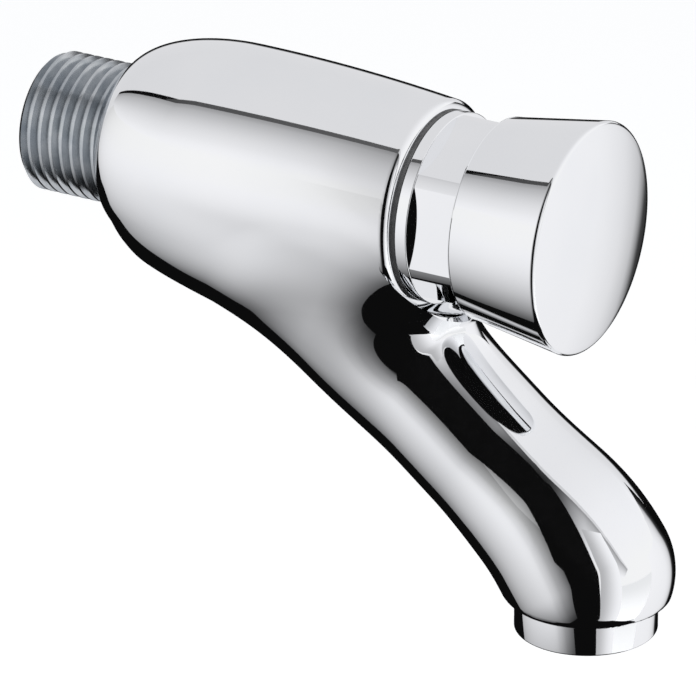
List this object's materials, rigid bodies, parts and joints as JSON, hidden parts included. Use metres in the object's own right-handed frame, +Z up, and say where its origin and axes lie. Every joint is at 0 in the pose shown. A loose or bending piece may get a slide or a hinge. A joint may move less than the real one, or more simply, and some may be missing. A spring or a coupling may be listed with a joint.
{
  "type": "push timed tap",
  "caption": "Chromed wall tap with a flared push button, a self-closing timed valve, a sloping spout with an outlet collar and a threaded rear inlet.",
  "frame": {"origin": "on the inlet axis, where the inlet thread meets the body", "axes": "+X along the inlet, barrel and button axis, away from the wall; +Z up"},
  "size_m": [0.1036, 0.0346, 0.0784],
  "materials": {
    "chrome": "polished chrome plate",
    "machined_metal": "plain machined metal, satin grey",
    "brass": "machined",
    "steel": "drawn or turned steel",
    "rubber": "matt",
    "fibre": "matt fibre",
    "white_plastic": "moulded",
    "grey_plastic": "moulded"
  },
  "bodies": {
    "tap": {"tap_body": "chrome", "inlet_nipple": "machined_metal", "nipple_seal": "fibre", "inlet_strainer": "grey_plastic", "valve_seat": "brass", "seat_o_ring": "rubber", "timing_sleeve": "white_plastic", "sleeve_o_ring": "rubber", "bonnet": "chrome", "bonnet_gasket": "fibre", "spindle_o_rings": "rubber", "guide_bush": "white_plastic", "bleed_pin": "steel", "return_spring": "steel", "aerator_housing": "chrome", "aerator_insert": "white_plastic", "aerator_screens": "steel", "flow_regulator": "grey_plastic", "aerator_washer": "rubber"},
    "plunger": {"spindle": "steel", "piston": "white_plastic", "piston_lip_seal": "rubber", "piston_clip": "steel", "valve_washer": "rubber", "washer_cup": "brass", "washer_nut": "brass", "push_button": "chrome", "button_nut": "brass"}
  },
  "joints": [
    {"name": "button_press", "type": "slide", "parent": "tap", "child": "plunger", "axis": [-1, 0, 0], "range_m": [0, 0.007], "stiffness_N_per_m": 1400, "springref_m": -0.012, "deforming": ["return_spring"]}
  ]
}
